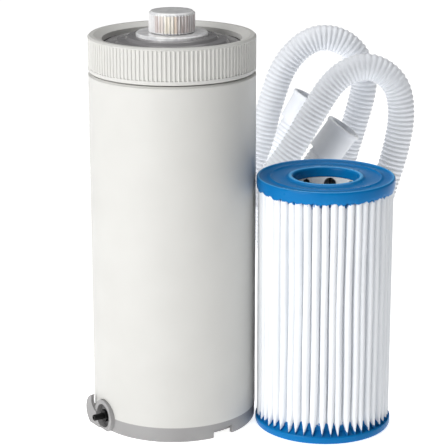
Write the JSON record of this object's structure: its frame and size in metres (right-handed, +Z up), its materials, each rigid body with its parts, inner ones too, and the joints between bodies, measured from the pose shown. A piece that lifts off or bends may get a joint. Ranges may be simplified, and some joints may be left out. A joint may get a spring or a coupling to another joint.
{
  "type": "pump water filter",
  "caption": "Cartridge filter pump: upright canister with lock collar, smoked cover and clear vent knob, its pleated cartridge beside it and corrugated hoses with cuffs behind.",
  "frame": {"origin": "on the canister's axis at floor level, at the centre of the foot ring's face", "axes": "+Z up along the canister's axis; -Y is the front; the cartridge stands at +X and the hoses leave at +Y"},
  "size_m": [0.2807, 0.4345, 0.3295],
  "materials": {
    "white_plastic": "satin",
    "grey_plastic": "satin",
    "dark_plastic": "satin",
    "black_plastic": "satin",
    "black_rubber": "matte",
    "screw_steel": "satin",
    "clamp_steel": "satin",
    "shaft_ceramic": "satin",
    "core_steel": "matte",
    "copper_winding": "satin",
    "hose_plastic": "satin",
    "smoked_plastic": "gloss",
    "clear_plastic": "gloss",
    "amber_plastic": "gloss",
    "magnet": "matte",
    "blue_urethane": "satin",
    "filter_fabric": "matte",
    "core_plastic": "satin"
  },
  "bodies": {
    "canister": {"tank_shell": "white_plastic", "tank_deck": "white_plastic", "tank_neck": "white_plastic", "base_foot": "grey_plastic", "base_plate": "grey_plastic", "foot_pads": "black_rubber", "base_screws": "screw_steel", "cartridge_seat": "black_plastic", "volute_cover": "black_plastic", "volute_housing": "black_plastic", "rotor_shaft": "shaft_ceramic", "shaft_bushes": "black_rubber", "rotor_can": "black_plastic", "stator_core": "core_steel", "stator_coils": "copper_winding", "motor_housing": "black_plastic", "motor_screws": "screw_steel", "deck_screws": "screw_steel", "deck_seal": "black_rubber", "motor_lead": "black_rubber", "inlet_disc": "dark_plastic", "inlet_connector": "black_plastic", "drain_duct": "grey_plastic", "supply_port": "grey_plastic", "return_port": "grey_plastic", "port_orings": "black_rubber", "port_screws": "screw_steel", "supply_clamp_band": "clamp_steel", "return_clamp_band": "clamp_steel", "supply_cuff_pump": "hose_plastic", "return_cuff_pump": "hose_plastic", "supply_hose": "hose_plastic", "return_hose": "hose_plastic", "supply_cuff_free": "hose_plastic", "return_cuff_free": "hose_plastic"},
    "cover": {"top_cover": "smoked_plastic", "cover_oring": "black_rubber", "hold_down_tube": "grey_plastic", "vent_seat": "clear_plastic"},
    "collar": {"lock_collar": "white_plastic"},
    "vent_slider": {"vent_oring": "black_rubber"},
    "vent": {"vent_knob": "clear_plastic", "vent_stem": "amber_plastic"},
    "rotor": {"impeller": "black_plastic", "rotor_magnet": "magnet"},
    "cartridge": {"cartridge_top_cap": "blue_urethane", "cartridge_bottom_cap": "blue_urethane", "pleated_media": "filter_fabric", "cartridge_core": "core_plastic"},
    "drain_slider": {"drain_oring": "black_rubber"},
    "drain": {"drain_plug": "dark_plastic"},
    "supply_worm": {"supply_clamp_screw": "clamp_steel"},
    "return_worm": {"return_clamp_screw": "clamp_steel"}
  },
  "joints": [
    {"name": "collar_turn", "type": "hinge", "parent": "cover", "child": "collar", "pos_m": [0, 0, 0.3], "axis": [0, 0, 1], "range_deg": [0, 540]},
    {"name": "cover_lift", "type": "slide", "parent": "canister", "child": "cover", "axis": [0, 0, 1], "range_m": [0, 0.009]},
    {"name": "vent_turn", "type": "hinge", "parent": "vent_slider", "child": "vent", "pos_m": [0, 0, 0.322], "axis": [0, 0, 1], "range_deg": [0, 540]},
    {"name": "vent_rise", "type": "slide", "parent": "cover", "child": "vent_slider", "axis": [0, 0, 1], "range_m": [0, 0.0045]},
    {"name": "rotor_spin", "type": "hinge", "parent": "canister", "child": "rotor", "pos_m": [0, 0, 0.03], "axis": [0, 0, 1], "continuous": true},
    {"name": "cartridge_lift", "type": "slide", "parent": "canister", "child": "cartridge", "axis": [0, 0, 1], "range_m": [0, 0.25]},
    {"name": "drain_turn", "type": "hinge", "parent": "drain_slider", "child": "drain", "pos_m": [-0.05161, 0.03614, 0.0112], "axis": [-0.8192, 0.5736, 0], "range_deg": [0, 720]},
    {"name": "drain_out", "type": "slide", "parent": "canister", "child": "drain_slider", "axis": [-0.8192, 0.5736, 0], "range_m": [0, 0.004]},
    {"name": "supply_worm_turn", "type": "hinge", "parent": "canister", "child": "supply_worm", "pos_m": [0.022, 0.0905, 0.1109], "axis": [1, 0, 0], "continuous": true},
    {"name": "return_worm_turn", "type": "hinge", "parent": "canister", "child": "return_worm", "pos_m": [-0.017, 0.0905, 0.0671], "axis": [1, 0, 0], "continuous": true}
  ],
  "couplings": [
    {"joint": "cover_lift", "follows": "collar_turn", "m_per_rad": 0.00095493},
    {"joint": "vent_rise", "follows": "vent_turn", "m_per_rad": 0.00047746},
    {"joint": "drain_out", "follows": "drain_turn", "m_per_rad": 0.00031831}
  ]
}
